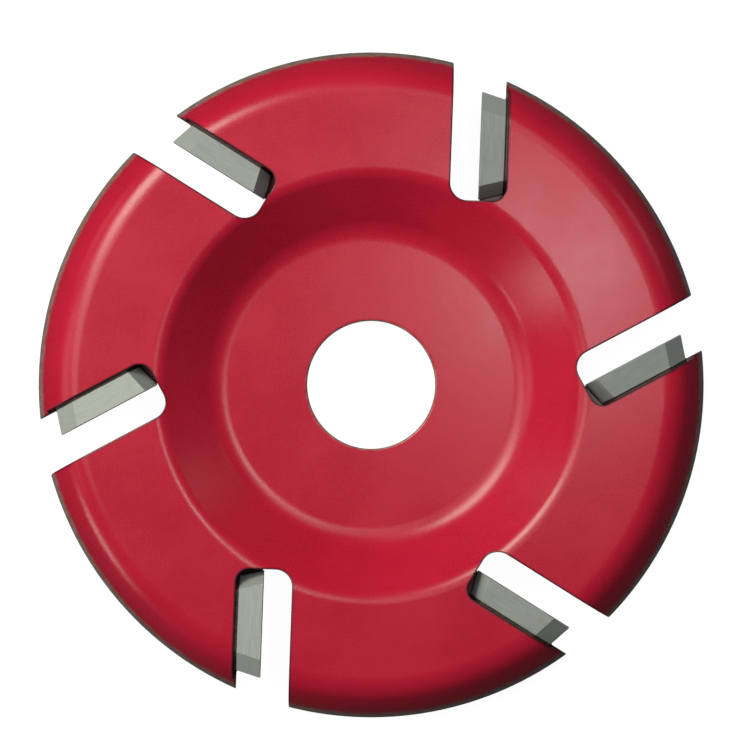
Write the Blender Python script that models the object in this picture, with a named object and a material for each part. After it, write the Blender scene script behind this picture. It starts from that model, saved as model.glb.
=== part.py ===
"""Angle grinder carving disc: a dished, red-painted steel disc with six brazed carbide teeth.

The disc lies on the back face of its hub. +Z is the spin axis and points to the working
face, the origin is the centre of the bore on the hub's back face, and +Y runs along the
first chip slot. Seen from the working face the disc turns counter-clockwise, so each
tooth sits on the clockwise side of its slot and faces counter-clockwise.
"""

import math

import bmesh
import bpy
from mathutils import Matrix, Vector

MM = 0.001

# Disc body: radii and heights
DISC_RADIUS = 57.5 * MM
BORE_RADIUS = 22.23 / 2 * MM
BORE_CHAMFER = 0.4 * MM
HUB_THICKNESS = 4.5 * MM
RECESS_DEPTH = 9.5 * MM
PLATE_THICKNESS = 7.4 * MM
FACE_HEIGHT = HUB_THICKNESS + RECESS_DEPTH
BACK_HEIGHT = FACE_HEIGHT - PLATE_THICKNESS

# Disc body: the cone between hub and face, where its lines would meet without fillets
CONE_FOOT_RADIUS = 26.8 * MM
CONE_CREST_RADIUS = 36.3 * MM
CONE_ANGLE = math.atan2(RECESS_DEPTH, CONE_CREST_RADIUS - CONE_FOOT_RADIUS)
CONE_WALL = 5.0 * MM
FRONT_FOOT_FILLET = 5.6 * MM
FRONT_CREST_FILLET = 3.6 * MM
BACK_FOOT_FILLET = 5.0 * MM
BACK_CREST_FILLET = 6.0 * MM

# Disc body: the rim rolls over on a shoulder arc and then a flatter flank arc, down to a lip
SHOULDER_RADIUS = 5.5 * MM
SHOULDER_ANGLE = math.radians(50.0)
FLANK_RADIUS = 16.0 * MM
FLANK_ANGLE = math.radians(78.0)
LIP_HEIGHT = 4.7 * MM
LIP_INNER_RADIUS = 53.6 * MM
LIP_CHAMFER = 0.3 * MM

TURN_STEPS = 120
FILLET_STEPS = 4

# Chip slots, in the first slot's frame: x across the slot, y outwards along it
SLOT_COUNT = 6
SLOT_LEADING_X = 12.25 * MM
SLOT_TRAILING_X = 21.45 * MM
SLOT_INNER_Y = 32.2 * MM
SLOT_LEADING_CORNER = 3.0 * MM
SLOT_TRAILING_CORNER = 2.3 * MM
SLOT_CORNER_STEPS = 5
CUT_MARGIN = 3.0 * MM

# Tooth seat: a pocket in the slot's trailing side, with a ledge under the tooth
SEAT_DEPTH = 0.45 * MM
SEAT_OUTER_Y = 51.2 * MM
LEDGE_TOP = BACK_HEIGHT + 2.0 * MM
LEDGE_EDGE_X = 17.5 * MM
LEDGE_OUTER_Y = 50.8 * MM
LEDGE_FILLET = 0.6 * MM

# Braze foil, bent once: it lies between the tooth and both faces of its seat
FOIL_THICKNESS = 0.3 * MM
FOIL_GAP = 0.1 * MM
FOIL_EDGE_MARGIN = 0.35 * MM

# Carbide tooth: a plate on edge, cutting on its leading face's outline
TOOTH_THICKNESS = 4.15 * MM
TOOTH_LEADING_X = 17.2 * MM
TOOTH_INNER_Y = 32.5 * MM
TOOTH_OUTER_Y = 50.9 * MM
TOOTH_TOP = FACE_HEIGHT + 0.8 * MM
TOOTH_BOTTOM = LEDGE_TOP + FOIL_THICKNESS + 2.0 * FOIL_GAP
INNER_BEVEL_LENGTH = 2.1 * MM
INNER_BEVEL_DROP = 4.0 * MM
OUTER_BEVEL_LENGTH = 3.2 * MM
OUTER_BEVEL_DROP = 2.2 * MM
FACE_RELIEF = math.radians(16.0)
END_RELIEF = math.radians(15.5)

SHARP_ANGLE = math.radians(30.0)


def clear_scene():
    """Remove every object, so that only the disc is left in the file."""
    for old in list(bpy.data.objects):
        bpy.data.objects.remove(old, do_unlink=True)


def make_material(name, colour, roughness, metallic):
    """A Principled BSDF with one colour."""
    material = bpy.data.materials.new(name)
    material.use_nodes = True
    shader = material.node_tree.nodes["Principled BSDF"]
    shader.inputs["Base Color"].default_value = (*colour, 1.0)
    shader.inputs["Roughness"].default_value = roughness
    shader.inputs["Metallic"].default_value = metallic
    return material


def fillet(before, corner, after, radius, steps):
    """Points of the arc of this radius that rounds a corner of a profile."""
    to_before = math.atan2(before[1] - corner[1], before[0] - corner[0])
    to_after = math.atan2(after[1] - corner[1], after[0] - corner[0])
    opening = (to_after - to_before + math.pi) % (2.0 * math.pi) - math.pi
    bisector = to_before + opening / 2.0
    half_opening = abs(opening) / 2.0
    reach = radius / math.sin(half_opening)
    centre_x = corner[0] + reach * math.cos(bisector)
    centre_y = corner[1] + reach * math.sin(bisector)
    sweep = math.copysign(math.pi / 2.0 - half_opening, opening)
    points = []
    for step in range(steps + 1):
        angle = bisector + math.pi + sweep * (1.0 - 2.0 * step / steps)
        points.append((centre_x + radius * math.cos(angle), centre_y + radius * math.sin(angle)))
    return points


def rim_roll():
    """Points of the rim from the flat working face down to the disc's full radius."""
    shoulder_width = SHOULDER_RADIUS * math.sin(SHOULDER_ANGLE)
    flank_width = FLANK_RADIUS * (math.sin(FLANK_ANGLE) - math.sin(SHOULDER_ANGLE))
    roll_start = DISC_RADIUS - shoulder_width - flank_width
    shoulder_centre = (roll_start, FACE_HEIGHT - SHOULDER_RADIUS)
    apart = FLANK_RADIUS - SHOULDER_RADIUS
    flank_centre = (
        shoulder_centre[0] - apart * math.sin(SHOULDER_ANGLE),
        shoulder_centre[1] - apart * math.cos(SHOULDER_ANGLE),
    )
    points = []
    for centre, radius, start, end in (
        (shoulder_centre, SHOULDER_RADIUS, 0.0, SHOULDER_ANGLE),
        (flank_centre, FLANK_RADIUS, SHOULDER_ANGLE, FLANK_ANGLE),
    ):
        for step in range(FILLET_STEPS):
            angle = start + (end - start) * step / FILLET_STEPS
            points.append((centre[0] + radius * math.sin(angle), centre[1] + radius * math.cos(angle)))
    points.append((DISC_RADIUS, flank_centre[1] + FLANK_RADIUS * math.cos(FLANK_ANGLE)))
    return points


def body_profile():
    """Closed section of the disc as (radius, height) points, front first, then rim, back and bore."""
    foot = (CONE_FOOT_RADIUS, HUB_THICKNESS)
    crest = (CONE_CREST_RADIUS, FACE_HEIGHT)
    bore_front = (BORE_RADIUS + BORE_CHAMFER, HUB_THICKNESS)
    roll = rim_roll()
    back_crest_radius = (
        CONE_CREST_RADIUS
        + (CONE_WALL / math.cos(CONE_ANGLE) - PLATE_THICKNESS) / math.tan(CONE_ANGLE)
    )
    back_crest = (back_crest_radius, BACK_HEIGHT)
    back_foot = (back_crest_radius - BACK_HEIGHT / math.tan(CONE_ANGLE), 0.0)
    lip_inner = (LIP_INNER_RADIUS, LIP_HEIGHT)
    lip_root = (LIP_INNER_RADIUS - (BACK_HEIGHT - LIP_HEIGHT), BACK_HEIGHT)
    bore_back = (BORE_RADIUS + BORE_CHAMFER, 0.0)

    profile = [(BORE_RADIUS, HUB_THICKNESS - BORE_CHAMFER), bore_front]
    profile += fillet(bore_front, foot, crest, FRONT_FOOT_FILLET, FILLET_STEPS)
    profile += fillet(foot, crest, roll[0], FRONT_CREST_FILLET, FILLET_STEPS)
    profile += roll
    profile += [(DISC_RADIUS, LIP_HEIGHT + LIP_CHAMFER), (DISC_RADIUS - LIP_CHAMFER, LIP_HEIGHT)]
    profile += [lip_inner, lip_root]
    profile += fillet(lip_root, back_crest, back_foot, BACK_CREST_FILLET, FILLET_STEPS)
    profile += fillet(back_crest, back_foot, bore_back, BACK_FOOT_FILLET, FILLET_STEPS)
    profile += [bore_back, (BORE_RADIUS, BORE_CHAMFER)]
    return profile


def slot_sides():
    """The first chip slot's outline in four runs of points, from the mouth inwards and out again.

    The first and last run are the slot's own. Between them the outline goes round the tooth's
    pocket above the ledge, and round the ledge below its top.
    """
    mouth_y = DISC_RADIUS + CUT_MARGIN
    seat_x = SLOT_TRAILING_X + SEAT_DEPTH
    inner_leading = (SLOT_LEADING_X, SLOT_INNER_Y)
    inner_trailing = (seat_x, SLOT_INNER_Y)
    mouth_leading = (SLOT_LEADING_X, mouth_y)
    mouth_trailing = (SLOT_TRAILING_X, mouth_y)
    seat_end = (seat_x, SEAT_OUTER_Y)
    ledge_end = (LEDGE_EDGE_X, LEDGE_OUTER_Y)
    ledge_slope = (SLOT_TRAILING_X - LEDGE_EDGE_X) * math.tan(END_RELIEF)
    ledge_root = (SLOT_TRAILING_X, LEDGE_OUTER_Y - ledge_slope)
    ledge_arc = fillet(ledge_end, ledge_root, mouth_trailing, LEDGE_FILLET, SLOT_CORNER_STEPS)

    leading_side = [mouth_leading]
    leading_side += fillet(
        mouth_leading, inner_leading, inner_trailing, SLOT_LEADING_CORNER, SLOT_CORNER_STEPS
    )
    leading_side += [(LEDGE_EDGE_X, SLOT_INNER_Y)]
    round_pocket = fillet(
        inner_leading, inner_trailing, seat_end, SLOT_TRAILING_CORNER, SLOT_CORNER_STEPS
    )
    round_pocket += [seat_end]
    round_ledge = [ledge_end] + ledge_arc
    mouth_side = [(SLOT_TRAILING_X, SEAT_OUTER_Y), mouth_trailing]
    return leading_side, round_pocket, round_ledge, mouth_side


def object_from_bmesh(name, mesh_data):
    """Turn a bmesh into an object with outward faces, and link it to the scene."""
    bmesh.ops.recalc_face_normals(mesh_data, faces=mesh_data.faces)
    mesh = bpy.data.meshes.new(name)
    mesh_data.to_mesh(mesh)
    mesh_data.free()
    made = bpy.data.objects.new(name, mesh)
    bpy.context.scene.collection.objects.link(made)
    return made


def add_walls(mesh_data, lower, upper):
    """A closed ring of quads between two rings of vertices."""
    for i in range(len(lower)):
        j = (i + 1) % len(lower)
        mesh_data.faces.new((lower[i], lower[j], upper[j], upper[i]))


def make_slot_cutter():
    """A stepped prism for each slot, taller than the disc, turned about the spin axis."""
    leading_side, round_pocket, round_ledge, mouth_side = slot_sides()
    cutter_data = bmesh.new()
    for index in range(SLOT_COUNT):
        turn = Matrix.Rotation(-2.0 * math.pi * index / SLOT_COUNT, 4, "Z")

        def ring(points, height):
            return [cutter_data.verts.new(turn @ Vector((x, y, height))) for x, y in points]

        bottom = ring(leading_side + round_ledge + mouth_side, -CUT_MARGIN)
        top = ring(leading_side + round_pocket + mouth_side, FACE_HEIGHT + CUT_MARGIN)
        leading = ring(leading_side, LEDGE_TOP)
        pocket = ring(round_pocket, LEDGE_TOP)
        ledge = ring(round_ledge, LEDGE_TOP)
        mouth = ring(mouth_side, LEDGE_TOP)
        cutter_data.faces.new(bottom)
        cutter_data.faces.new(top)
        cutter_data.faces.new([leading[-1]] + pocket + [mouth[0]] + ledge[::-1])
        add_walls(cutter_data, bottom, leading + ledge + mouth)
        add_walls(cutter_data, leading + pocket + mouth, top)
    cutter = object_from_bmesh("slot_cutter", cutter_data)
    cutter.hide_render = True
    cutter.display_type = "WIRE"
    return cutter


def apply_modifiers(made):
    """Replace an object's mesh with the shape that its modifiers give."""
    depsgraph = bpy.context.evaluated_depsgraph_get()
    shaped = bpy.data.meshes.new_from_object(made.evaluated_get(depsgraph))
    made.modifiers.clear()
    made.data = shaped


def make_body(material):
    """The turned disc with its six slots cut out."""
    section = body_profile()
    mesh = bpy.data.meshes.new("disc_body")
    edges = [(i, (i + 1) % len(section)) for i in range(len(section))]
    mesh.from_pydata([(radius, 0.0, height) for radius, height in section], edges, [])
    body = bpy.data.objects.new("disc_body", mesh)
    bpy.context.scene.collection.objects.link(body)
    mesh.materials.append(material)

    turned = body.modifiers.new("turned_section", "SCREW")
    turned.axis = "Z"
    turned.steps = TURN_STEPS
    turned.render_steps = TURN_STEPS
    turned.use_merge_vertices = True
    turned.merge_threshold = 0.00001

    cutter = make_slot_cutter()
    slots = body.modifiers.new("chip_slots", "BOOLEAN")
    slots.operation = "DIFFERENCE"
    slots.solver = "EXACT"
    slots.object = cutter
    apply_modifiers(body)
    bpy.data.objects.remove(cutter, do_unlink=True)
    body.data.shade_smooth()
    body.data.set_sharp_from_angle(angle=SHARP_ANGLE)
    return body


def tooth_outline(behind_edge, margin=0.0):
    """Outline of the tooth at this distance behind its leading face, a margin inside its sides.

    Behind the leading face, the ends pull in and the front drops by their relief angles.
    """
    end_shift = behind_edge * math.tan(END_RELIEF) + margin
    inner_y = TOOTH_INNER_Y + end_shift
    outer_y = TOOTH_OUTER_Y - end_shift
    bottom = TOOTH_BOTTOM + margin
    top = TOOTH_TOP - behind_edge * math.tan(FACE_RELIEF) - margin
    return [
        (inner_y, bottom),
        (inner_y, top - INNER_BEVEL_DROP),
        (inner_y + INNER_BEVEL_LENGTH, top),
        (outer_y - OUTER_BEVEL_LENGTH, top),
        (outer_y, top - OUTER_BEVEL_DROP),
        (outer_y, bottom),
    ]


def mesh_from_bmesh(name, mesh_data, material):
    """Turn a bmesh into a mesh with outward faces and one material."""
    bmesh.ops.recalc_face_normals(mesh_data, faces=mesh_data.faces)
    mesh = bpy.data.meshes.new(name)
    mesh_data.to_mesh(mesh)
    mesh_data.free()
    mesh.materials.append(material)
    return mesh


def tooth_mesh(material):
    """The carbide plate in the first slot's frame."""
    trailing_x = TOOTH_LEADING_X + TOOTH_THICKNESS
    plate = bmesh.new()
    near = [plate.verts.new((TOOTH_LEADING_X, y, z)) for y, z in tooth_outline(0.0)]
    far = [plate.verts.new((trailing_x, y, z)) for y, z in tooth_outline(TOOTH_THICKNESS)]
    plate.faces.new(near)
    plate.faces.new(far)
    add_walls(plate, near, far)
    return mesh_from_bmesh("carbide_tooth", plate, material)


def foil_mesh(material):
    """The bent braze foil: one leg behind the tooth, one under it, both a little smaller."""
    near_x = TOOTH_LEADING_X + TOOTH_THICKNESS + FOIL_GAP
    far_x = near_x + FOIL_THICKNESS
    edge_x = LEDGE_EDGE_X + FOIL_EDGE_MARGIN
    low_z = LEDGE_TOP + FOIL_GAP
    high_z = low_z + FOIL_THICKNESS
    behind = tooth_outline(TOOTH_THICKNESS, FOIL_EDGE_MARGIN)
    inner_y = behind[0][0]
    outer_y = behind[-1][0]
    spread = (near_x - edge_x) * math.tan(END_RELIEF)

    foil = bmesh.new()
    crown = behind[1:-1]
    near = [foil.verts.new((near_x, y, z)) for y, z in crown]
    far = [foil.verts.new((far_x, y, z)) for y, z in crown]
    bend_inner = foil.verts.new((near_x, inner_y, high_z))
    bend_outer = foil.verts.new((near_x, outer_y, high_z))
    under_inner = foil.verts.new((near_x, inner_y, low_z))
    under_outer = foil.verts.new((near_x, outer_y, low_z))
    heel_inner = foil.verts.new((far_x, inner_y, low_z))
    heel_outer = foil.verts.new((far_x, outer_y, low_z))
    toe = [
        foil.verts.new((edge_x, y, z))
        for y, z in (
            (inner_y - spread, low_z),
            (inner_y - spread, high_z),
            (outer_y + spread, high_z),
            (outer_y + spread, low_z),
        )
    ]
    foil.faces.new([bend_inner] + near + [bend_outer])
    foil.faces.new([heel_inner] + far + [heel_outer])
    for i in range(len(crown) - 1):
        foil.faces.new((near[i], near[i + 1], far[i + 1], far[i]))
    foil.faces.new((under_inner, bend_inner, near[0], far[0], heel_inner))
    foil.faces.new((under_outer, bend_outer, near[-1], far[-1], heel_outer))
    foil.faces.new((bend_inner, bend_outer, toe[2], toe[1]))
    foil.faces.new((under_inner, bend_inner, toe[1], toe[0]))
    foil.faces.new((under_outer, bend_outer, toe[2], toe[3]))
    foil.faces.new((heel_inner, heel_outer, under_outer, toe[3], toe[0], under_inner))
    foil.faces.new(toe)
    return mesh_from_bmesh("braze_foil", foil, material)


def place_in_slots(mesh, name, parent):
    """One object for each slot, all sharing a mesh, turned clockwise as seen from the front."""
    for index in range(SLOT_COUNT):
        copy = bpy.data.objects.new(f"{name}_{index + 1}", mesh)
        bpy.context.scene.collection.objects.link(copy)
        copy.rotation_euler = (0.0, 0.0, -2.0 * math.pi * index / SLOT_COUNT)
        copy.parent = parent


def main():
    clear_scene()
    red_paint = make_material("red_paint", (0.42, 0.022, 0.032), 0.38, 0.0)
    carbide = make_material("carbide", (0.30, 0.31, 0.29), 0.35, 1.0)
    braze = make_material("braze", (0.45, 0.30, 0.16), 0.45, 1.0)

    spin_axis = bpy.data.objects.new("spin_axis", None)
    bpy.context.scene.collection.objects.link(spin_axis)
    body = make_body(red_paint)
    body.parent = spin_axis
    place_in_slots(tooth_mesh(carbide), "carbide_tooth", spin_axis)
    place_in_slots(foil_mesh(braze), "braze_foil", spin_axis)


main()
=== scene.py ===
"""Looks of the angle grinder carving disc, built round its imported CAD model.

The disc lies on its hub's back face, working face up, and the camera looks straight down
on it. Lengths are in metres. Sizes that the frame can give are read from it; the others
repeat the named sizes of the CAD model.
"""

import math

import bmesh
import bpy
from mathutils import Matrix, Vector, noise
from mathutils.geometry import delaunay_2d_cdt


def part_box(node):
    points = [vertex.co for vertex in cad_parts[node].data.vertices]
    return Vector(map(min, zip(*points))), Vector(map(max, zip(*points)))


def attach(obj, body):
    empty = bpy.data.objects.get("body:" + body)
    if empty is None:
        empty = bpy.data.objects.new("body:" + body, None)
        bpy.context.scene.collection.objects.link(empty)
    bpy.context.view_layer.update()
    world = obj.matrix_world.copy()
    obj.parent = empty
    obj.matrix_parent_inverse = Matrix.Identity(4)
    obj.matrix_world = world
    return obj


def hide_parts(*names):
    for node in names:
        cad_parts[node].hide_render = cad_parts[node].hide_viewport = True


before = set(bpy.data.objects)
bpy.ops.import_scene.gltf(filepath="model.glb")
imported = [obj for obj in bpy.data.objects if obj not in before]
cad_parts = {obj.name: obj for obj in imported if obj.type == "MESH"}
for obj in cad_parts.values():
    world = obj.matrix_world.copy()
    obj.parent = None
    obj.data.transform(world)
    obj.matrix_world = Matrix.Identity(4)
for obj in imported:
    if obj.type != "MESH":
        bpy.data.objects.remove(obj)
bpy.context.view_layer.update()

MM = 0.001
SLOT_COUNT = 6
SECTOR = 2.0 * math.pi / SLOT_COUNT

# Disc body: sizes of the CAD model
DISC_RADIUS = 57.5 * MM
FACE_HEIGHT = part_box("disc_body")[1][2]
BORE_RADIUS = 22.23 / 2 * MM
BORE_EDGE = 0.4 * MM
HUB_THICKNESS = 4.5 * MM
PLATE_THICKNESS = 7.4 * MM
BACK_HEIGHT = FACE_HEIGHT - PLATE_THICKNESS
CONE_FOOT_RADIUS = 26.8 * MM
CONE_CREST_RADIUS = 36.3 * MM
CONE_ANGLE = math.atan2(FACE_HEIGHT - HUB_THICKNESS, CONE_CREST_RADIUS - CONE_FOOT_RADIUS)
CONE_WALL = 5.0 * MM
FRONT_FOOT_FILLET = 5.6 * MM
FRONT_CREST_FILLET = 3.6 * MM
BACK_FOOT_FILLET = 5.0 * MM
BACK_CREST_FILLET = 6.0 * MM
SHOULDER_RADIUS = 5.5 * MM
SHOULDER_ANGLE = math.radians(50.0)
FLANK_RADIUS = 16.0 * MM
FLANK_ANGLE = math.radians(78.0)
LIP_HEIGHT = 4.7 * MM
LIP_INNER_RADIUS = 53.6 * MM
LIP_EDGE = 0.3 * MM
LIP_INNER_EDGE = 0.6 * MM
LIP_ROOT_FILLET = 0.8 * MM

# Chip slots, in the first slot's frame: x across the slot, y outwards along it
SLOT_LEADING_X = 12.25 * MM
SLOT_TRAILING_X = 21.45 * MM
SLOT_INNER_Y = 32.2 * MM
SLOT_LEADING_CORNER = 3.0 * MM
SLOT_TRAILING_CORNER = 2.3 * MM
SEAT_X = SLOT_TRAILING_X + 0.45 * MM
SEAT_OUTER_Y = 51.2 * MM
LEDGE_TOP = BACK_HEIGHT + 2.0 * MM
LEDGE_EDGE_X = 17.5 * MM
LEDGE_OUTER_Y = 50.8 * MM
LEDGE_FILLET = 0.6 * MM

# Teeth
TOOTH_THICKNESS = 4.15 * MM
TOOTH_LEADING_X, TOOTH_INNER_Y, TOOTH_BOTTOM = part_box("carbide_tooth_1")[0]
TOOTH_TRAILING_X, TOOTH_OUTER_Y, TOOTH_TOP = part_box("carbide_tooth_1")[1]
INNER_BEVEL_LENGTH = 2.1 * MM
INNER_BEVEL_DROP = 4.0 * MM
OUTER_BEVEL_LENGTH = 3.2 * MM
OUTER_BEVEL_DROP = 2.2 * MM
FACE_RELIEF = math.radians(16.0)
END_RELIEF = math.radians(15.5)
HONED_EDGE = 0.07 * MM
HONED_STEPS = 3
HONED_FROM_ANGLE = math.radians(12.0)

# Braze: how far it stays off its seat, sinks below the tooth's top, dips and stands out
BRAZE_CLEARANCE = 0.01 * MM
BRAZE_SINK = 0.25 * MM
BRAZE_DIP = 0.08 * MM
BRAZE_ROUGHNESS = 0.12 * MM
BRAZE_EDGE_STEP = 0.15 * MM
BRAZE_BEAD = 0.12 * MM
BRAZE_STEPS = 48

# Fineness of the disc body's mesh
COLUMNS = 36
FIRST_COLUMN_ANGLE = math.radians(37.5)
COLUMN_STEP = SECTOR / COLUMNS
ROW_STEP = 1.4 * MM
STATION_STEP = 0.8 * MM
SLOT_EDGE_RADIUS = 0.26 * MM
# Share of dark paint on each step of a slot's edge rounding: painted shade along the slot edges, with
# some brazing scorch
SLOT_EDGE_SCORCH_AND_SHADE = {90.0: 1.0, 67.5: 1.0, 45.0: 1.0, 22.5: 1.0, 0.0: 0.6}
SLOT_BORDER = 0.15 * MM
SLOT_CORNER_STEPS = 9
GRID_CLEARANCE = 0.7 * MM
CHART_SCALE = 45.0
FLAT_WALL_COSINE = 0.99999
SAME_PLACE = 0.0001 * MM

# Colours
PAINT_DEEP = (0.445, 0.0085, 0.033, 1.0)
PAINT_LIGHT = (0.49, 0.0100, 0.038, 1.0)
PAINT_WARM = (0.52, 0.0135, 0.033, 1.0)
# Near-black red for the slots' walls, floors and edges: painted shade with some brazing scorch
PAINT_SCORCH_AND_SHADE = (0.085, 0.010, 0.018, 1.0)
# Bare steel at the bore and the rim; at the rim its pale tone also stands in for a painted reflection
# of the pale floor
STEEL_DARK = (0.25, 0.18, 0.15, 1.0)
STEEL_LIGHT = (0.52, 0.43, 0.38, 1.0)
CARBIDE_DARK = (0.27, 0.305, 0.29, 1.0)
CARBIDE_LIGHT = (0.35, 0.385, 0.37, 1.0)
CARBIDE_STAIN = (0.30, 0.285, 0.27, 1.0)
BRAZE_STAIN = (0.022, 0.010, 0.010, 1.0)
BRAZE_METAL = (0.085, 0.055, 0.040, 1.0)
FLOOR_GREY = (0.12, 0.12, 0.12, 1.0)
WHITE = (1.0, 1.0, 1.0, 1.0)

# Sizes of the materials' marks
PAINT_CLOUD = 14.0 * MM
PAINT_MOTTLE = 1.6 * MM
PAINT_GRAIN = 0.35 * MM
TURNING_RINGS = 0.25 * MM
# Width of the pale steel band at the rim: worn paint plus a painted reflection
RIM_WEAR_AND_REFLECTION_WIDTH = 0.95 * MM
CARBIDE_LINES = 0.16 * MM
CARBIDE_LINE_STRETCH = 0.03
CARBIDE_MOTTLE = 1.8 * MM
BRAZE_STAIN_SIZE = 0.7 * MM
BRAZE_GRAIN = 0.15 * MM

# Camera
CAMERA_HEIGHT = 820.0 * MM
CAMERA_ROLL = math.radians(2.1)
CAMERA_LENS_MM = 226.2
CAMERA_SHIFT = (0.0051, 0.0132)

# Light: name, colour, azimuth from +X and elevation in degrees, distance, size, brightness
LAMP_WHITE = (1.0, 1.0, 1.0)
LAMP_WARM_WHITE = (1.0, 0.97, 0.86)
LAMPS = [
    ("main_softbox", LAMP_WARM_WHITE, 137.0, 48.0, 0.60, 0.28, 13.5),
    ("top_left_fill", LAMP_WARM_WHITE, 167.0, 65.0, 0.60, 0.26, 3.2),
    ("top_right_fill", LAMP_WHITE, 62.0, 65.0, 0.60, 0.26, 1.8),
    ("left_fill", LAMP_WARM_WHITE, 182.0, 32.0, 0.60, 0.28, 1.6),
    ("low_left_strip", LAMP_WHITE, -148.0, 10.0, 0.60, 0.17, 6.0),
    ("low_back_strip", LAMP_WARM_WHITE, 152.0, 10.0, 0.60, 0.17, 1.2),
    ("low_right_strip", LAMP_WHITE, 32.0, 10.0, 0.60, 0.17, 1.2),
    ("near_spot", LAMP_WHITE, 32.0, 78.0, 0.225, 0.04, 14.2),
]
WORLD_STRENGTH = 0.06
FLOOR_SIZE = 3.0
FLOOR_GLOW = 0.97


def make_camera():
    """A long lens straight above the bore, turned so that the first slot leans a little clockwise."""
    data = bpy.data.cameras.new("camera")
    data.lens = CAMERA_LENS_MM
    data.shift_x, data.shift_y = CAMERA_SHIFT
    camera = bpy.data.objects.new("camera", data)
    camera.location = (0.0, 0.0, CAMERA_HEIGHT)
    camera.rotation_euler = (0.0, 0.0, CAMERA_ROLL)
    bpy.context.scene.collection.objects.link(camera)
    bpy.context.scene.camera = camera


make_camera()


# ---------------------------------------------------------------- the turned section

def rounded_corner(before, corner, after, radius, steps):
    """Arc of this radius round the corner of an outline, as (point, left-hand normal) pairs."""
    corner = Vector(corner)
    arrive = (corner - Vector(before)).normalized()
    leave = (Vector(after) - corner).normalized()
    turn = math.copysign(arrive.angle(leave), arrive.x * leave.y - arrive.y * leave.x)
    side = math.copysign(1.0, turn)
    left = Vector((-arrive.y, arrive.x))
    start = corner - arrive * radius * math.tan(abs(turn) / 2.0)
    centre = start + left * side * radius
    points = []
    for step in range(steps + 1):
        normal = Matrix.Rotation(turn * step / steps, 2) @ left
        points.append((centre - normal * side * radius, normal))
    return points


def rim_roll():
    """The rim from the flat face to the full radius, as (point, normal) pairs on two arcs."""
    shoulder_width = SHOULDER_RADIUS * math.sin(SHOULDER_ANGLE)
    flank_width = FLANK_RADIUS * (math.sin(FLANK_ANGLE) - math.sin(SHOULDER_ANGLE))
    roll_start = DISC_RADIUS - shoulder_width - flank_width
    shoulder_centre = Vector((roll_start, FACE_HEIGHT - SHOULDER_RADIUS))
    shoulder_end = Vector((math.sin(SHOULDER_ANGLE), math.cos(SHOULDER_ANGLE)))
    flank_centre = shoulder_centre - shoulder_end * (FLANK_RADIUS - SHOULDER_RADIUS)
    points = []
    for centre, radius, start, end, steps in (
        (shoulder_centre, SHOULDER_RADIUS, 0.0, SHOULDER_ANGLE, 10),
        (flank_centre, FLANK_RADIUS, SHOULDER_ANGLE, FLANK_ANGLE, 8),
    ):
        for step in range(1 if points else 0, steps + 1):
            angle = start + (end - start) * step / steps
            normal = Vector((math.sin(angle), math.cos(angle)))
            points.append((centre + normal * radius, normal))
    return points


def section_rows():
    """The closed section as (radius, height, normal) rows: up the bore, over the front and back."""
    back_crest_radius = (
        CONE_CREST_RADIUS
        + (CONE_WALL / math.cos(CONE_ANGLE) - PLATE_THICKNESS) / math.tan(CONE_ANGLE)
    )
    bore_middle = Vector((BORE_RADIUS, HUB_THICKNESS / 2.0))
    bore_front = (BORE_RADIUS, HUB_THICKNESS)
    foot = (CONE_FOOT_RADIUS, HUB_THICKNESS)
    crest = (CONE_CREST_RADIUS, FACE_HEIGHT)
    roll = rim_roll()
    roll_start = roll[0][0]
    rim_end = roll[-1][0]
    lip_outer = (DISC_RADIUS, LIP_HEIGHT)
    lip_inner = (LIP_INNER_RADIUS, LIP_HEIGHT)
    lip_root = (LIP_INNER_RADIUS - (BACK_HEIGHT - LIP_HEIGHT), BACK_HEIGHT)
    back_crest = (back_crest_radius, BACK_HEIGHT)
    back_foot = (back_crest_radius - BACK_HEIGHT / math.tan(CONE_ANGLE), 0.0)
    bore_back = (BORE_RADIUS, 0.0)

    arcs = [
        [(bore_middle, Vector((-1.0, 0.0)))],
        rounded_corner(bore_middle, bore_front, foot, BORE_EDGE, 5),
        rounded_corner(bore_front, foot, crest, FRONT_FOOT_FILLET, 12),
        rounded_corner(foot, crest, roll_start, FRONT_CREST_FILLET, 8),
        roll,
        rounded_corner(rim_end, lip_outer, lip_inner, LIP_EDGE, 4),
        rounded_corner(lip_outer, lip_inner, lip_root, LIP_INNER_EDGE, 3),
        rounded_corner(lip_inner, lip_root, back_crest, LIP_ROOT_FILLET, 3),
        rounded_corner(lip_root, back_crest, back_foot, BACK_CREST_FILLET, 8),
        rounded_corner(back_crest, back_foot, bore_back, BACK_FOOT_FILLET, 8),
        rounded_corner(back_foot, bore_back, bore_middle, BORE_EDGE, 5),
        [(bore_middle, Vector((-1.0, 0.0)))],
    ]
    rows = []
    for arc in arcs:
        if rows:
            start, normal = rows[-1]
            gap = arc[0][0] - start
            parts = max(1, math.ceil(gap.length / ROW_STEP))
            rows += [(start + gap * part / parts, normal) for part in range(1, parts)]
        rows += arc
    return rows


ROWS = section_rows()
ROW_RUN = [0.0]
for here, after in zip(ROWS, ROWS[1:]):
    ROW_RUN.append(ROW_RUN[-1] + (after[0] - here[0]).length)
RIM_ROW = max(range(len(ROWS)), key=lambda row: (ROWS[row][0].x, ROWS[row][0].y))
LAST_RIM_ROW = max(row for row in range(len(ROWS)) if ROWS[row][0].x > DISC_RADIUS - 0.01 * MM)
FRONT = range(0, RIM_ROW + 1)
BACK = range(LAST_RIM_ROW, len(ROWS))


def row_place(radius, span):
    """Fractional row number of the outermost place at this radius in a span of rows."""
    pairs = list(zip(span, span[1:]))
    if span is FRONT:
        pairs.reverse()
    for here, after in pairs:
        near, far = ROWS[here][0].x, ROWS[after][0].x
        if near != far and min(near, far) <= radius <= max(near, far):
            return here + (radius - near) / (far - near)
    raise ValueError("no row at this radius")


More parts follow.
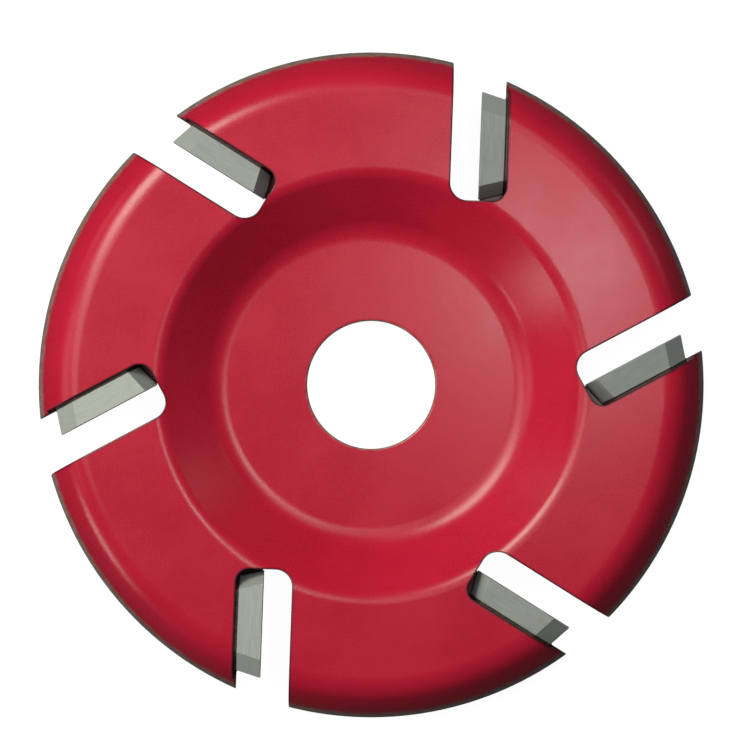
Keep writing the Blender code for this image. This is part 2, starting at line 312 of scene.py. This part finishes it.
def section_at(place):
    """Point, normal and run along the section at a fractional row number."""
    row = min(int(place), len(ROWS) - 2)
    share = place - row
    point = ROWS[row][0].lerp(ROWS[row + 1][0], share)
    normal = ROWS[row][1].lerp(ROWS[row + 1][1], share).normalized()
    run = ROW_RUN[row] + share * (ROW_RUN[row + 1] - ROW_RUN[row])
    return point, normal, run


# ---------------------------------------------------------------- the slots' outlines

def outline_run(before, corners, after):
    """(point, outward) stations along an outline, outward pointing left, into the slot.

    A corner has a radius and is rounded, or a radius of zero and is mitred.
    """
    places = [Vector(before)] + [Vector(corner) for corner, radius in corners] + [Vector(after)]
    stations = []
    for index, (corner, radius) in enumerate(corners):
        if radius:
            piece = rounded_corner(*places[index:index + 3], radius, SLOT_CORNER_STEPS)
        else:
            arrive = (places[index + 1] - places[index]).normalized()
            leave = (places[index + 2] - places[index + 1]).normalized()
            bisector = Vector((-arrive.y - leave.y, arrive.x + leave.x))
            piece = [(places[index + 1], bisector / (1.0 + arrive.dot(leave)))]
        if stations:
            start = stations[-1][0]
            gap = piece[0][0] - start
            left = Vector((-gap.y, gap.x)).normalized()
            parts = max(1, math.ceil(gap.length / STATION_STEP))
            stations += [(start + gap * part / parts, left) for part in range(1, parts)]
        stations += piece
    return stations


MOUTH_Y = DISC_RADIUS + 3.0 * MM
LEADING_MOUTH = (SLOT_LEADING_X, MOUTH_Y)
TRAILING_MOUTH = (SLOT_TRAILING_X, MOUTH_Y)
INNER_CORNERS = [
    ((SLOT_LEADING_X, SLOT_INNER_Y), SLOT_LEADING_CORNER),
    ((LEDGE_EDGE_X, SLOT_INNER_Y), 0.0),
]
LEDGE_ROOT_Y = LEDGE_OUTER_Y - (SLOT_TRAILING_X - LEDGE_EDGE_X) * math.tan(END_RELIEF)
POCKET_RUN = outline_run(LEADING_MOUTH, INNER_CORNERS + [
    ((SEAT_X, SLOT_INNER_Y), SLOT_TRAILING_CORNER),
    ((SEAT_X, SEAT_OUTER_Y), 0.0),
    ((SLOT_TRAILING_X, SEAT_OUTER_Y), 0.0),
], TRAILING_MOUTH)
LEDGE_RUN = outline_run(LEADING_MOUTH, INNER_CORNERS + [
    ((LEDGE_EDGE_X, LEDGE_OUTER_Y), 0.0),
    ((SLOT_TRAILING_X, LEDGE_ROOT_Y), LEDGE_FILLET),
], TRAILING_MOUTH)
LEDGE_START = max(
    number for number, (here, there) in enumerate(zip(POCKET_RUN, LEDGE_RUN)) if here[0] == there[0]
)


def slot_stations():
    """The closed outline of a slot's edge as (point, outward, span, row) stations.

    It runs along the pocket on the front, over the rim on the trailing side, back along the
    ledge on the back, and over the rim again on the leading side. On the straight walls that
    cross the rim there is one station for each row of the section.
    """
    reach = SLOT_EDGE_RADIUS + SLOT_BORDER

    def rows_beyond(first_radius, last_radius):
        return [
            row
            for row in range(len(ROWS))
            if ROWS[row][0].x > (first_radius if row <= RIM_ROW else last_radius) + reach
        ]

    trailing_rows = rows_beyond(
        (POCKET_RUN[-1][0] - POCKET_RUN[-1][1] * reach).length,
        (LEDGE_RUN[-1][0] - LEDGE_RUN[-1][1] * reach).length,
    )
    tangent = POCKET_RUN[0][0].length
    leading_rows = rows_beyond(tangent, tangent)
    stations = [(point, outward, FRONT, None) for point, outward in POCKET_RUN]
    trailing_wall = Vector((SLOT_TRAILING_X, 0.0))
    stations += [(trailing_wall, Vector((-1.0, 0.0)), None, row) for row in trailing_rows]
    stations += [(point, outward, BACK, None) for point, outward in reversed(LEDGE_RUN)]
    leading_wall = Vector((SLOT_LEADING_X, 0.0))
    stations += [(leading_wall, Vector((1.0, 0.0)), None, row) for row in reversed(leading_rows)]
    return stations, len(trailing_rows)


def station_point(station, inset, sink):
    """Place, surface normal, wall normal and chart place of a station's point.

    The point lies this far into the metal from the slot's wall, and this far below the surface.
    """
    point, outward, span, row = station
    flat = point - outward * inset
    if row is None:
        place = row_place(flat.length, span)
    else:
        place = row
        flat.y = math.sqrt(ROWS[row][0].x ** 2 - flat.x ** 2)
    middle, slope, run = section_at(place)
    direction = flat.normalized()
    normal = Vector((direction.x * slope.x, direction.y * slope.x, slope.y))
    wall = outward.to_3d().normalized()
    down = (wall * normal.dot(wall) - normal).normalized()
    chart = Vector((run / MM, math.atan2(flat.y, flat.x) * CHART_SCALE))
    return Vector((flat.x, flat.y, middle.y)) + down * sink, normal, wall, chart


# ---------------------------------------------------------------- the disc body's mesh

def distance_to_outline(point, outline):
    """Distance from a point to a closed outline, zero inside it."""
    inside = False
    nearest = 1.0
    for start, end in zip(outline, outline[1:] + outline[:1]):
        along = end - start
        share = max(0.0, min(1.0, (point - start).dot(along) / along.length_squared))
        nearest = min(nearest, (point - start - along * share).length)
        if (start.y > point.y) != (end.y > point.y):
            if point.x < start.x + along.x * (point.y - start.y) / along.y:
                inside = not inside
    return 0.0 if inside else nearest


class Pattern:
    """Faces of one sector: each corner has a key, a place, a normal and a share of dark paint, which
    is painted shade in the slots with some brazing scorch.
    """

    def __init__(self):
        self.faces = []

    def add(self, corners):
        """Add a face, turned so that it faces the way its corners' normals do."""
        places = [corner[1] for corner in corners]
        facing = Vector()
        for here, after in zip(places, places[1:] + places[:1]):
            facing += (here - places[0]).cross(after - places[0])
        if facing.dot(sum((corner[2] for corner in corners), Vector())) < 0.0:
            corners = corners[::-1]
        self.faces.append(corners)


def grid_corner(row, column):
    """Corner of the regular grid on the turned surface."""
    point, slope = ROWS[row]
    angle = FIRST_COLUMN_ANGLE + column * COLUMN_STEP
    outwards = Vector((math.cos(angle), math.sin(angle), 0.0))
    place = outwards * point.x + Vector((0.0, 0.0, point.y))
    normal = outwards * slope.x + Vector((0.0, 0.0, slope.y))
    return (("grid", row % (len(ROWS) - 1), column), place, normal, 0.0)


def edge_corners(stations):
    """Rings of corners round a slot's edge, from its wall over the rounding to the border."""
    rings = []
    charts = []
    levels = []
    for turn, scorch_and_shade in SLOT_EDGE_SCORCH_AND_SHADE.items():
        angle = math.radians(turn)
        inset = SLOT_EDGE_RADIUS * (1.0 - math.sin(angle))
        sink = SLOT_EDGE_RADIUS * (1.0 - math.cos(angle))
        levels.append((inset, sink, angle, scorch_and_shade))
    levels.append((SLOT_EDGE_RADIUS + SLOT_BORDER, 0.0, 0.0, 0.0))
    for level, (inset, sink, angle, scorch_and_shade) in enumerate(levels):
        ring = []
        for number, station in enumerate(stations):
            place, normal, wall, chart = station_point(station, inset, sink)
            shading = (normal * math.cos(angle) + wall * math.sin(angle)).normalized()
            ring.append((("edge", level, number), place, shading, scorch_and_shade))
            charts.append(chart)
        rings.append(ring)
    return rings, charts


def add_turned_surface(pattern, rings, charts):
    """Cover the sector: a regular grid, and round the slot triangles between grid and rings."""
    pocket, ledge = (
        [Vector(LEADING_MOUTH)] + [point for point, outward in run] + [Vector(TRAILING_MOUTH)]
        for run in (POCKET_RUN, LEDGE_RUN)
    )
    cut = set()
    for row, (point, slope) in enumerate(ROWS):
        if point.x > SLOT_INNER_Y:
            for column in range(COLUMNS + 1):
                place = grid_corner(row, column)[1].to_2d()
                outline = pocket if row <= RIM_ROW else ledge
                if distance_to_outline(place, outline) < GRID_CLEARANCE:
                    cut.add((row, column))
    first_row = min(row for row, column in cut) - 1
    last_row = max(row for row, column in cut) + 1
    first_column = min(column for row, column in cut) - 1
    last_column = max(column for row, column in cut) + 1

    for row in range(len(ROWS) - 1):
        for column in range(COLUMNS):
            beside = first_row <= row < last_row and first_column <= column < last_column
            if not beside:
                pattern.add([
                    grid_corner(row, column),
                    grid_corner(row, column + 1),
                    grid_corner(row + 1, column + 1),
                    grid_corner(row + 1, column),
                ])

    corners = [corner for ring in rings for corner in ring]
    chart = list(charts)
    edges = []
    for level in range(len(rings)):
        count = len(rings[level])
        edges += [(level * count + i, level * count + (i + 1) % count) for i in range(count)]
    kept = {}
    for row in range(first_row, last_row + 1):
        for column in range(first_column, last_column + 1):
            if (row, column) not in cut:
                kept[row, column] = len(corners)
                corners.append(grid_corner(row, column))
                angle = FIRST_COLUMN_ANGLE + column * COLUMN_STEP
                chart.append(Vector((ROW_RUN[row] / MM, angle * CHART_SCALE)))
    for row in range(first_row, last_row):
        edges.append((kept[row, first_column], kept[row + 1, first_column]))
        edges.append((kept[row, last_column], kept[row + 1, last_column]))
    for column in range(first_column, last_column):
        edges.append((kept[first_row, column], kept[first_row, column + 1]))
        edges.append((kept[last_row, column], kept[last_row, column + 1]))

    triangles, sources = delaunay_2d_cdt(chart, edges, [], 0, 1e-6)[2:4]
    wall_count = len(rings[0])
    for triangle in triangles:
        numbers = [sources[vertex][0] for vertex in triangle]
        if min(numbers) < wall_count and max(numbers) < wall_count:
            continue
        first, second, third = (chart[number] for number in numbers)
        if (second - first).cross(third - first) < 0.0:
            numbers.reverse()
        pattern.faces.append([corners[number] for number in numbers])


def add_slot_walls(pattern, wall_ring, trailing_count):
    """Fill a slot between its edge on the front and its edge on the back, with pocket and ledge."""
    pocket_count = len(POCKET_RUN)
    ledge_end = pocket_count + trailing_count + len(LEDGE_RUN) - 1
    front = wall_ring[:pocket_count]
    prong = wall_ring[pocket_count:pocket_count + trailing_count]
    back = [wall_ring[ledge_end - number] for number in range(len(LEDGE_RUN))]
    leading = wall_ring[ledge_end + 1:]

    # The seat's floor is painted fully dark: painted shade deep in the slot, with some brazing scorch
    def seat_corner(name, number, run):
        point = run[number][0]
        return ((name, number), Vector((point.x, point.y, LEDGE_TOP)), None, 1.0)

    pocket_floor = [seat_corner("pocket", number, POCKET_RUN) for number in range(pocket_count)]
    ledge_floor = [seat_corner("ledge", number, LEDGE_RUN) for number in range(len(LEDGE_RUN))]
    ledge_floor[LEDGE_START] = pocket_floor[LEDGE_START]

    def add_flat(corners, normal):
        pattern.add([(key, place, normal, scorch_and_shade) for key, place, old, scorch_and_shade in corners])

    def add_panel(run, number, corners):
        """A wall between a station and the next, flat or part of a rounded corner."""
        (here, left), (after, next_left) = run[number], run[number + 1]
        along = after - here
        flat = Vector((-along.y, along.x)).normalized()
        round_wall = all(
            abs(way.length - 1.0) < 1e-6 and way.dot(flat) < FLAT_WALL_COSINE
            for way in (left, next_left)
        )
        if round_wall:
            near, far = left.to_3d(), next_left.to_3d()
        else:
            near = far = flat.to_3d()
        pattern.add([
            (key, place, far if (place.to_2d() - after).length < SAME_PLACE else near, scorch_and_shade)
            for key, place, old, scorch_and_shade in corners
        ])

    add_flat([back[0]] + leading + [front[0]], Vector((1.0, 0.0, 0.0)))
    for number in range(LEDGE_START):
        corners = [front[number], front[number + 1], back[number + 1], back[number]]
        if number + 1 == LEDGE_START:
            corners.insert(2, pocket_floor[LEDGE_START])
        add_panel(POCKET_RUN, number, corners)
    for number in range(LEDGE_START, pocket_count - 1):
        add_panel(POCKET_RUN, number, [
            front[number], front[number + 1], pocket_floor[number + 1], pocket_floor[number],
        ])
    for number in range(LEDGE_START, len(LEDGE_RUN) - 1):
        add_panel(LEDGE_RUN, number, [
            ledge_floor[number], ledge_floor[number + 1], back[number + 1], back[number],
        ])
    add_flat(
        [front[-1]] + prong + [back[-1], ledge_floor[-1], pocket_floor[-1]],
        Vector((-1.0, 0.0, 0.0)),
    )
    add_flat(
        pocket_floor[LEDGE_START:] + ledge_floor[:LEDGE_START:-1],
        Vector((0.0, 0.0, 1.0)),
    )


def mesh_from_pattern(name, pattern):
    """Repeat a sector's faces round the axis, with shared vertices and exact normals."""
    numbers = {}
    places = []
    scorch_and_shade_shares = []
    faces = []
    normals = []
    for slot in range(SLOT_COUNT):
        turn = Matrix.Rotation(-slot * SECTOR, 3, "Z")
        for corners in pattern.faces:
            face = []
            for key, place, normal, scorch_and_shade in corners:
                if key[0] == "grid":
                    own_key = (key[1], (key[2] - slot * COLUMNS) % (SLOT_COUNT * COLUMNS))
                else:
                    own_key = key + (slot,)
                if own_key not in numbers:
                    numbers[own_key] = len(places)
                    places.append(turn @ place)
                    scorch_and_shade_shares.append(scorch_and_shade)
                face.append(numbers[own_key])
                normals.append(turn @ normal)
            faces.append(face)
    mesh = bpy.data.meshes.new(name)
    mesh.from_pydata(places, [], faces)
    mesh.shade_smooth()
    mesh.normals_split_custom_set(normals)
    mesh.attributes.new("scorch_and_shade", "FLOAT", "POINT").data.foreach_set("value", scorch_and_shade_shares)
    return mesh


def make_disc_body():
    stations, trailing_count = slot_stations()
    rings, charts = edge_corners(stations)
    pattern = Pattern()
    add_turned_surface(pattern, rings, charts)
    add_slot_walls(pattern, rings[0], trailing_count)
    body = bpy.data.objects.new("painted_disc", mesh_from_pattern("painted_disc", pattern))
    bpy.context.scene.collection.objects.link(body)
    return body


# ---------------------------------------------------------------- teeth and braze

def tooth_outline(behind_edge):
    """Outline of the tooth at this distance behind its leading face, as in the CAD model."""
    end_shift = behind_edge * math.tan(END_RELIEF)
    inner_y = TOOTH_INNER_Y + end_shift
    outer_y = TOOTH_OUTER_Y - end_shift
    top = TOOTH_TOP - behind_edge * math.tan(FACE_RELIEF)
    return [
        (inner_y, TOOTH_BOTTOM),
        (inner_y, top - INNER_BEVEL_DROP),
        (inner_y + INNER_BEVEL_LENGTH, top),
        (outer_y - OUTER_BEVEL_LENGTH, top),
        (outer_y, top - OUTER_BEVEL_DROP),
        (outer_y, TOOTH_BOTTOM),
    ]


def ring_walls(mesh_data, near, far):
    """A closed ring of quads between two rings of vertices."""
    for i in range(len(near)):
        j = (i + 1) % len(near)
        mesh_data.faces.new((near[i], near[j], far[j], far[i]))


def finish_mesh(name, mesh_data):
    bmesh.ops.recalc_face_normals(mesh_data, faces=mesh_data.faces)
    mesh = bpy.data.meshes.new(name)
    mesh_data.to_mesh(mesh)
    mesh_data.free()
    mesh.shade_smooth()
    return mesh


def make_tooth_mesh():
    """The ground carbide plate, with sharp edges."""
    plate = bmesh.new()
    near = [plate.verts.new((TOOTH_LEADING_X, y, z)) for y, z in tooth_outline(0.0)]
    far = [plate.verts.new((TOOTH_TRAILING_X, y, z)) for y, z in tooth_outline(TOOTH_THICKNESS)]
    plate.faces.new(near)
    plate.faces.new(far)
    ring_walls(plate, near, far)
    return finish_mesh("ground_tooth", plate)


def hone_edges(tooth):
    """A fine rounding on a tooth's edges, also on the shallow ones between its facets."""
    honing = tooth.modifiers.new("honed_edges", "BEVEL")
    honing.width = HONED_EDGE
    honing.segments = HONED_STEPS
    honing.limit_method = "ANGLE"
    honing.angle_limit = HONED_FROM_ANGLE
    honing.harden_normals = True


def crown_height(outline, y):
    """Height of the tooth's upper edge at this place along it."""
    for (near_y, near_z), (far_y, far_z) in zip(outline[1:-1], outline[2:-1]):
        if y <= far_y:
            return near_z + (far_z - near_z) * max(0.0, (y - near_y) / (far_y - near_y))
    return outline[-2][1]


def braze_section(share, rough):
    """Section of the braze at a share of its length: under the tooth, behind it and up to its top."""
    back_x = SEAT_X - BRAZE_CLEARANCE
    tooth_x = TOOTH_TRAILING_X + BRAZE_CLEARANCE
    floor = LEDGE_TOP + BRAZE_CLEARANCE
    under = TOOTH_BOTTOM - BRAZE_CLEARANCE
    behind = tooth_outline(TOOTH_THICKNESS)
    crown = crown_height(behind, behind[0][0] + share * (behind[-1][0] - behind[0][0]))
    top = max(under, crown - BRAZE_SINK) + (0.5 + rough) * BRAZE_ROUGHNESS
    return [
        (LEDGE_EDGE_X + BRAZE_EDGE_STEP, floor),
        (back_x, floor),
        (back_x, top + BRAZE_DIP * 0.8),
        (back_x - 0.12 * MM, top - BRAZE_DIP * 0.5),
        ((back_x + tooth_x) / 2.0, top - BRAZE_DIP),
        (tooth_x + 0.1 * MM, top - BRAZE_DIP * 0.4),
        (tooth_x, top + BRAZE_DIP),
        (tooth_x, under),
        (LEDGE_EDGE_X + BRAZE_EDGE_STEP * 0.6, under),
        (LEDGE_EDGE_X + BRAZE_EDGE_STEP * 1.2, (floor + under) / 2.0),
    ]


def make_braze_mesh():
    """The joint's filler: an L between tooth and seat, drawn up at its sides and out at its ends."""
    joint = bmesh.new()
    rings = []
    for step in range(BRAZE_STEPS + 1):
        share = step / BRAZE_STEPS
        rough = noise.noise(Vector((step * 0.37, 3.1, 0.0)))
        ring = []
        for x, z in braze_section(share, rough):
            end_shift = (x - TOOTH_LEADING_X) * math.tan(END_RELIEF) - BRAZE_BEAD
            inner_y = TOOTH_INNER_Y + end_shift
            outer_y = TOOTH_OUTER_Y - end_shift
            ring.append(joint.verts.new((x, inner_y + share * (outer_y - inner_y), z)))
        rings.append(ring)
    joint.faces.new(rings[0])
    joint.faces.new(rings[-1])
    for near, far in zip(rings, rings[1:]):
        ring_walls(joint, near, far)
    return finish_mesh("braze_joint", joint)


def place_in_slots(name, mesh, node, material):
    """One piece for each slot, all sharing a mesh, in place of the slot's CAD node."""
    mesh.materials.append(material)
    placed = []
    for index in range(SLOT_COUNT):
        piece = bpy.data.objects.new(f"{name}_{index + 1}", mesh)
        piece.rotation_euler = (0.0, 0.0, -index * SECTOR)
        bpy.context.scene.collection.objects.link(piece)
        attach(piece, "root")
        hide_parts(f"{node}_{index + 1}")
        placed.append(piece)
    return placed


# ---------------------------------------------------------------- materials

def new_material(name):
    material = bpy.data.materials.new(name)
    material.use_nodes = True
    return material, material.node_tree.nodes["Principled BSDF"]


def add_node(material, kind, inputs=None, **settings):
    """A node with its settings, and with each input set to a value or linked to a socket."""
    node = material.node_tree.nodes.new(kind)
    for name, value in settings.items():
        setattr(node, name, value)
    for socket, value in (inputs or {}).items():
        plug(material, value, node.inputs[socket])
    return node


def plug(material, value, socket):
    if isinstance(value, bpy.types.NodeSocket):
        material.node_tree.links.new(value, socket)
    else:
        socket.default_value = value


def math_node(material, operation, *values):
    node = add_node(material, "ShaderNodeMath", dict(enumerate(values)), operation=operation)
    return node.outputs["Value"]


def smooth_step(material, value, low, high, from_value=0.0, to_value=1.0):
    """A soft step between two limits."""
    node = add_node(material, "ShaderNodeMapRange", {
        "Value": value, "From Min": low, "From Max": high, "To Min": from_value, "To Max": to_value,
    }, interpolation_type="SMOOTHSTEP")
    return node.outputs["Result"]


def noise_node(material, vector, size, detail=2.0, roughness=0.5):
    """Noise whose features are about this many metres across."""
    node = add_node(material, "ShaderNodeTexNoise", {
        "Vector": vector, "Scale": 1.0 / size, "Detail": detail, "Roughness": roughness,
    })
    return node.outputs["Fac"]


def mix_colours(material, share, first, second):
    node = add_node(material, "ShaderNodeMix", data_type="RGBA")
    plug(material, share, node.inputs["Factor"])
    plug(material, first, node.inputs[6])
    plug(material, second, node.inputs[7])
    return node.outputs[2]


def bump_node(material, height, depth, strength, before=None):
    inputs = {"Height": height, "Distance": depth, "Strength": strength}
    if before is not None:
        inputs["Normal"] = before
    return add_node(material, "ShaderNodeBump", inputs).outputs["Normal"]


def make_red_paint():
    """Satin red paint on turned steel. It is painted dark in and round the slots as painted shade with
    some brazing scorch, worn to steel at the bore, and pale steel at the rim as wear plus a painted
    reflection.
    """
    material, shader = new_material("red_paint")
    place = add_node(material, "ShaderNodeTexCoord").outputs["Object"]
    split = add_node(material, "ShaderNodeSeparateXYZ", {"Vector": place}).outputs
    flat = add_node(material, "ShaderNodeCombineXYZ", {"X": split["X"], "Y": split["Y"]})
    radius = add_node(material, "ShaderNodeVectorMath", {0: flat.outputs[0]}, operation="LENGTH")
    radius = radius.outputs["Value"]

    cloud = noise_node(material, place, PAINT_CLOUD, 3.0)
    mottle = noise_node(material, place, PAINT_MOTTLE, 4.0, 0.6)
    grain = noise_node(material, place, PAINT_GRAIN, 2.0)
    turning = add_node(material, "ShaderNodeCombineXYZ", {"X": radius, "Y": split["Z"]})
    rings = noise_node(material, turning.outputs[0], TURNING_RINGS)

    colour = mix_colours(material, smooth_step(material, cloud, 0.3, 0.7), PAINT_DEEP, PAINT_LIGHT)
    warmth = smooth_step(material, mottle, 0.35, 0.75, 0.0, 0.3)
    colour = mix_colours(material, warmth, colour, PAINT_WARM)
    # Darken the slots' walls, floors and edge roundings: painted shade, partly brazing scorch
    scorch_and_shade = add_node(material, "ShaderNodeAttribute", attribute_name="scorch_and_shade").outputs["Fac"]
    scorch_and_shade = math_node(material, "MULTIPLY", scorch_and_shade, smooth_step(material, mottle, 0.25, 0.6, 0.7, 1.0))
    colour = mix_colours(material, scorch_and_shade, colour, PAINT_SCORCH_AND_SHADE)

    # Pale steel band at the rim: worn paint, and a painted reflection of the floor at the grazing edge
    rim = math_node(material, "ADD", radius, math_node(material, "MULTIPLY", mottle, 0.5 * MM))
    rim_wear_and_reflection = smooth_step(material, rim, DISC_RADIUS - RIM_WEAR_AND_REFLECTION_WIDTH, DISC_RADIUS - 0.05 * MM)
    bore = math_node(material, "SUBTRACT", radius, math_node(material, "MULTIPLY", mottle, 0.3 * MM))
    worn_bore = smooth_step(material, bore, BORE_RADIUS + 0.12 * MM, BORE_RADIUS - 0.1 * MM)
    wear_and_rim_reflection = math_node(material, "MAXIMUM", rim_wear_and_reflection, worn_bore)
    scratched = math_node(material, "ADD", mottle, math_node(material, "MULTIPLY", rings, 1.2))
    metal = mix_colours(material, smooth_step(material, scratched, 0.8, 1.4), STEEL_DARK, STEEL_LIGHT)
    plug(material, mix_colours(material, wear_and_rim_reflection, colour, metal), shader.inputs["Base Color"])
    plug(material, math_node(material, "MULTIPLY", wear_and_rim_reflection, 0.4), shader.inputs["Metallic"])

    polish = smooth_step(material, cloud, 0.3, 0.7, 0.25, 0.30)
    polish = math_node(material, "ADD", polish, smooth_step(material, grain, 0.3, 0.7, -0.02, 0.03))
    plug(material, polish, shader.inputs["Roughness"])
    shader.inputs["Specular IOR Level"].default_value = 0.4

    turned = bump_node(material, rings, 0.01 * MM, 0.25)
    peel = bump_node(material, mottle, 0.03 * MM, 0.35, turned)
    plug(material, bump_node(material, grain, 0.01 * MM, 0.5, peel), shader.inputs["Normal"])
    return material


def make_carbide():
    """Ground sintered carbide: satin grey with fine lines along the tooth and a mottled sheen."""
    material, shader = new_material("ground_carbide")
    place = add_node(material, "ShaderNodeTexCoord").outputs["Object"]
    number = add_node(material, "ShaderNodeObjectInfo").outputs["Random"]
    shifted = add_node(material, "ShaderNodeVectorMath", {
        0: place, 1: add_node(material, "ShaderNodeCombineXYZ", {"Z": number}).outputs[0],
    }, operation="ADD").outputs[0]
    stretch = (1.0, CARBIDE_LINE_STRETCH, 1.0)
    along = add_node(material, "ShaderNodeMapping", {"Vector": shifted, "Scale": stretch})
    lines = noise_node(material, along.outputs[0], CARBIDE_LINES, 4.0, 0.7)
    mottle = noise_node(material, shifted, CARBIDE_MOTTLE, 4.0, 0.6)
    colour = mix_colours(material, smooth_step(material, lines, 0.3, 0.7), CARBIDE_DARK, CARBIDE_LIGHT)
    stain = smooth_step(material, mottle, 0.45, 0.75, 0.0, 0.5)
    colour = mix_colours(material, stain, colour, CARBIDE_STAIN)
    plug(material, colour, shader.inputs["Base Color"])
    shader.inputs["Metallic"].default_value = 0.05
    shader.inputs["Specular IOR Level"].default_value = 0.45
    plug(material, smooth_step(material, lines, 0.25, 0.75, 0.50, 0.62), shader.inputs["Roughness"])
    ground = bump_node(material, lines, 0.01 * MM, 0.5)
    plug(material, bump_node(material, mottle, 0.02 * MM, 0.2, ground), shader.inputs["Normal"])
    return material


def make_braze():
    """Silver braze, dull and stained dark by flux."""
    material, shader = new_material("stained_braze")
    place = add_node(material, "ShaderNodeTexCoord").outputs["Object"]
    stain = noise_node(material, place, BRAZE_STAIN_SIZE, 4.0, 0.6)
    grain = noise_node(material, place, BRAZE_GRAIN, 2.0)
    colour = mix_colours(material, smooth_step(material, stain, 0.35, 0.75), BRAZE_STAIN, BRAZE_METAL)
    plug(material, colour, shader.inputs["Base Color"])
    plug(material, smooth_step(material, stain, 0.4, 0.75, 0.0, 0.7), shader.inputs["Metallic"])
    plug(material, smooth_step(material, grain, 0.3, 0.7, 0.5, 0.75), shader.inputs["Roughness"])
    plug(material, bump_node(material, stain, 0.06 * MM, 0.5), shader.inputs["Normal"])
    return material


disc = make_disc_body()
disc.data.materials.append(make_red_paint())
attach(disc, "root")
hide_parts("disc_body")

teeth = place_in_slots("ground_tooth", make_tooth_mesh(), "carbide_tooth", make_carbide())
for tooth in teeth:
    hone_edges(tooth)
place_in_slots("braze_joint", make_braze_mesh(), "braze_foil", make_braze())


# ---------------------------------------------------------------- light and floor

def add_lamp(name, colour, azimuth, elevation, distance, size, brightness):
    """A round soft lamp aimed at the middle of the disc, its brightness per area of the lamp."""
    around, up = math.radians(azimuth), math.radians(elevation)
    place = Vector((math.cos(around) * math.cos(up), math.sin(around) * math.cos(up), math.sin(up)))
    data = bpy.data.lights.new(name, "AREA")
    data.shape = "DISK"
    data.size = size
    data.color = colour
    data.energy = brightness * math.pi * math.pi * size ** 2 / 4.0
    light = bpy.data.objects.new(name, data)
    light.location = place * distance
    light.rotation_euler = place.to_track_quat("Z", "Y").to_euler()
    bpy.context.scene.collection.objects.link(light)


def make_world():
    """A little even light from everywhere."""
    world = bpy.data.worlds.new("studio")
    world.use_nodes = True
    background = world.node_tree.nodes["Background"]
    background.inputs["Color"].default_value = WHITE
    background.inputs["Strength"].default_value = WORLD_STRENGTH
    bpy.context.scene.world = world


def make_floor():
    """A plain white floor, which neither lights the disc nor shows in its gloss."""
    floor_data = bmesh.new()
    bmesh.ops.create_grid(floor_data, x_segments=1, y_segments=1, size=FLOOR_SIZE)
    floor = bpy.data.objects.new("floor", finish_mesh("floor", floor_data))
    bpy.context.scene.collection.objects.link(floor)
    material, shader = new_material("white_floor")
    shader.inputs["Base Color"].default_value = FLOOR_GREY
    shader.inputs["Roughness"].default_value = 0.8
    shader.inputs["Emission Color"].default_value = WHITE
    shader.inputs["Emission Strength"].default_value = FLOOR_GLOW
    floor.data.materials.append(material)
    floor.visible_diffuse = False
    floor.visible_glossy = False


for lamp in LAMPS:
    add_lamp(*lamp)
make_world()
make_floor()

bpy.context.scene.view_settings.view_transform = "Standard"
